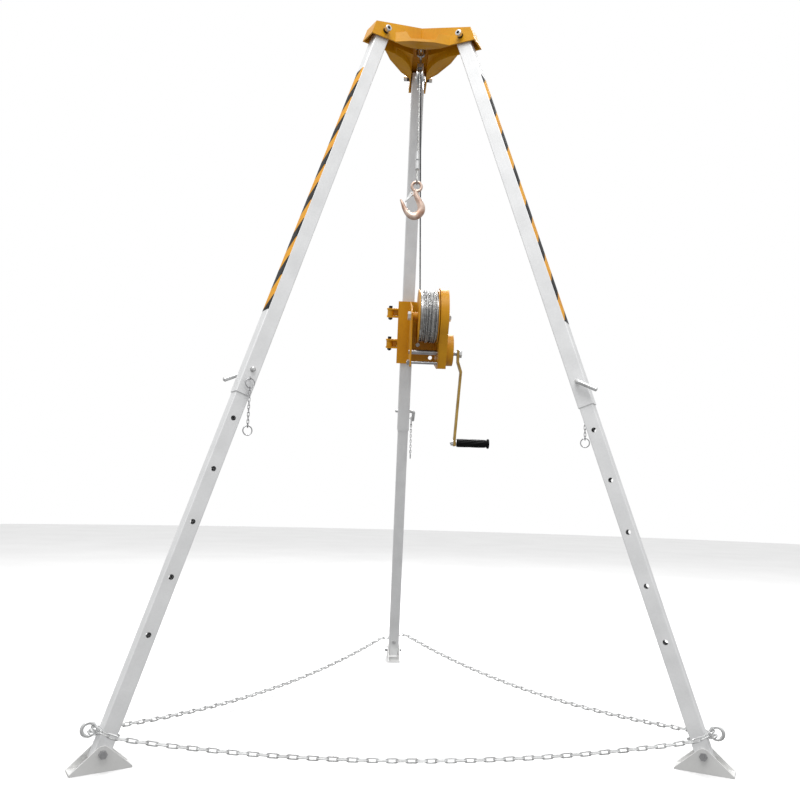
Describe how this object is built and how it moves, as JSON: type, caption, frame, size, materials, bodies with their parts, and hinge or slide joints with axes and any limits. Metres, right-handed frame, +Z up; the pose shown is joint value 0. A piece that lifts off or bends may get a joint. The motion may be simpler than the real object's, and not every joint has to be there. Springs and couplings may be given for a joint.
{
  "type": "rescue tripod",
  "caption": "Rescue tripod with telescopic legs pinned at set holes, hinged feet, floor chains, a brake winch with crank on one leg, a head pulley and a latched hook on a wire rope.",
  "frame": {"origin": "on the floor, under the middle of the overall box", "axes": "+Z up, +Y towards the rear leg with the winch, +X to the right of someone facing the winch"},
  "size_m": [1.5232, 1.3262, 2.0957],
  "materials": {
    "yellow_coat": "orange-yellow powder coat",
    "leg_aluminium": "satin anodised",
    "zinc_steel": "bright zinc plate",
    "plain_steel": "plain steel",
    "rope_wire": "galvanised wire rope",
    "grip_plastic": "moulded black plastic",
    "black_steel": "black oxide",
    "friction_lining": "brake lining",
    "hook_coat": "pale copper-coloured plating on forged steel"
  },
  "bodies": {
    "head": {"head": "yellow_coat", "pivot_bushes": "plain_steel", "pivot_bolts": "zinc_steel", "head_eye_bolt": "zinc_steel", "shackle": "plain_steel", "pulley_head": "plain_steel", "pulley_cheeks": "zinc_steel", "pulley_axle": "zinc_steel", "chain_front": "zinc_steel", "chain_right": "zinc_steel", "chain_left": "zinc_steel", "rope_up": "rope_wire", "rope_fall": "rope_wire"},
    "sheave": {"pulley_sheave": "plain_steel"},
    "leg_left_upper": {"upper_tube_left": "leg_aluminium", "pin_lanyard_left": "plain_steel"},
    "leg_left_lower": {"lower_tube_left": "leg_aluminium", "eye_bolt_left": "zinc_steel", "foot_bolt_left": "zinc_steel"},
    "pin_left": {"lock_pin_left": "zinc_steel"},
    "shoe_left": {"foot_left": "zinc_steel"},
    "leg_right_upper": {"upper_tube_right": "leg_aluminium", "pin_lanyard_right": "plain_steel"},
    "leg_right_lower": {"lower_tube_right": "leg_aluminium", "eye_bolt_right": "zinc_steel", "foot_bolt_right": "zinc_steel"},
    "pin_right": {"lock_pin_right": "zinc_steel"},
    "shoe_right": {"foot_right": "zinc_steel"},
    "leg_rear_upper": {"upper_tube_rear": "leg_aluminium", "pin_lanyard_rear": "plain_steel", "winch_frame": "yellow_coat", "clamp_straps": "yellow_coat", "clamp_bolts": "black_steel", "strap_bolts": "zinc_steel", "tie_rod": "plain_steel", "gear_cover": "yellow_coat", "brake_cover": "yellow_coat", "drum_axle": "zinc_steel", "drum_spacer": "yellow_coat", "ratchet_wheel": "plain_steel"},
    "leg_rear_lower": {"lower_tube_rear": "leg_aluminium", "eye_bolt_rear": "zinc_steel", "foot_bolt_rear": "zinc_steel"},
    "pin_rear": {"lock_pin_rear": "zinc_steel"},
    "shoe_rear": {"foot_rear": "zinc_steel"},
    "winch_drum": {"drum": "yellow_coat", "drum_gear": "plain_steel", "rope_core": "rope_wire", "rope_winding": "rope_wire"},
    "crank": {"crank_shaft": "plain_steel", "friction_discs": "friction_lining", "crank_arm": "yellow_coat", "crank_nuts": "zinc_steel"},
    "crank_grip": {"grip": "grip_plastic"},
    "brake_pawl": {"pawl": "plain_steel"},
    "lifting_hook": {"ferrules": "zinc_steel", "rope_eye": "rope_wire", "hook": "hook_coat"},
    "latch": {"hook_latch": "zinc_steel"}
  },
  "joints": [
    {"name": "leg_left_fold", "type": "hinge", "parent": "head", "child": "leg_left_upper", "pos_m": [-0.12817, -0.28041, 2.0237], "axis": [0.5, -0.866, 0], "range_deg": [0, 14], "deforming": ["chain_front", "chain_left"]},
    {"name": "leg_left_extend", "type": "slide", "parent": "leg_left_upper", "child": "leg_left_lower", "axis": [-0.2702, -0.156, -0.9501], "range_m": [-0.685, 0.137]},
    {"name": "foot_left_tilt", "type": "hinge", "parent": "leg_left_lower", "child": "shoe_left", "pos_m": [-0.69282, -0.60641, 0.038], "axis": [0.5, -0.866, 0], "range_deg": [-20, 20]},
    {"name": "lock_pin_left_pull", "type": "slide", "parent": "leg_left_upper", "child": "pin_left", "axis": [-0.5, 0.866, 0], "range_m": [0, 0.075]},
    {"name": "leg_right_fold", "type": "hinge", "parent": "head", "child": "leg_right_upper", "pos_m": [0.12817, -0.28041, 2.0237], "axis": [0.5, 0.866, 0], "range_deg": [0, 14], "deforming": ["chain_right"]},
    {"name": "leg_right_extend", "type": "slide", "parent": "leg_right_upper", "child": "leg_right_lower", "axis": [0.2702, -0.156, -0.9501], "range_m": [-0.685, 0.137]},
    {"name": "foot_right_tilt", "type": "hinge", "parent": "leg_right_lower", "child": "shoe_right", "pos_m": [0.69282, -0.60641, 0.038], "axis": [0.5, 0.866, 0], "range_deg": [-20, 20]},
    {"name": "lock_pin_right_pull", "type": "slide", "parent": "leg_right_upper", "child": "pin_right", "axis": [-0.5, -0.866, 0], "range_m": [0, 0.075]},
    {"name": "leg_rear_fold", "type": "hinge", "parent": "head", "child": "leg_rear_upper", "pos_m": [0, -0.05841, 2.0237], "axis": [-1, 0, 0], "range_deg": [0, 14], "deforming": ["rope_up"]},
    {"name": "leg_rear_extend", "type": "slide", "parent": "leg_rear_upper", "child": "leg_rear_lower", "axis": [0, 0.312, -0.9501], "range_m": [-0.685, 0.137]},
    {"name": "foot_rear_tilt", "type": "hinge", "parent": "leg_rear_lower", "child": "shoe_rear", "pos_m": [0, 0.59359, 0.038], "axis": [-1, 0, 0], "range_deg": [-20, 20]},
    {"name": "lock_pin_rear_pull", "type": "slide", "parent": "leg_rear_upper", "child": "pin_rear", "axis": [1, 0, 0], "range_m": [0, 0.075]},
    {"name": "drum_turn", "type": "hinge", "parent": "leg_rear_upper", "child": "winch_drum", "pos_m": [0.06, 0.05884, 1.23386], "axis": [1, 0, 0], "range_deg": [-100, 780]},
    {"name": "crank_turn", "type": "hinge", "parent": "leg_rear_upper", "child": "crank", "pos_m": [0.168, 0.09706, 1.11747], "axis": [1, 0, 0], "range_deg": [-2170, 282]},
    {"name": "crank_grip_spin", "type": "hinge", "parent": "crank", "child": "crank_grip", "pos_m": [0.228, 0.09706, 0.80947], "axis": [1, 0, 0], "continuous": true},
    {"name": "pawl_lift", "type": "hinge", "parent": "leg_rear_upper", "child": "brake_pawl", "pos_m": [0.1306, 0.05222, 1.13222], "axis": [1, 0, 0], "range_deg": [0, 12], "stiffness_Nm_per_rad": 0.05, "springref_deg": -17.19},
    {"name": "sheave_turn", "type": "hinge", "parent": "head", "child": "sheave", "pos_m": [0, -0.20641, 1.9347], "axis": [0.9932, -0.1166, 0], "range_deg": [-330, 2640]},
    {"name": "hook_travel", "type": "slide", "parent": "head", "child": "lifting_hook", "axis": [0, 0, -1], "range_m": [-0.15, 1.2], "deforming": ["rope_fall"]},
    {"name": "hook_latch_open", "type": "hinge", "parent": "lifting_hook", "child": "latch", "pos_m": [-0.01803, -0.23223, 1.541], "axis": [0, -1, 0], "range_deg": [0, 36], "stiffness_Nm_per_rad": 0.05, "springref_deg": -17.19}
  ],
  "couplings": [
    {"joint": "crank_turn", "follows": "drum_turn", "ratio": -2.7692},
    {"joint": "sheave_turn", "follows": "drum_turn", "ratio": 3.2077},
    {"joint": "hook_travel", "follows": "drum_turn", "m_per_rad": 0.0834}
  ]
}
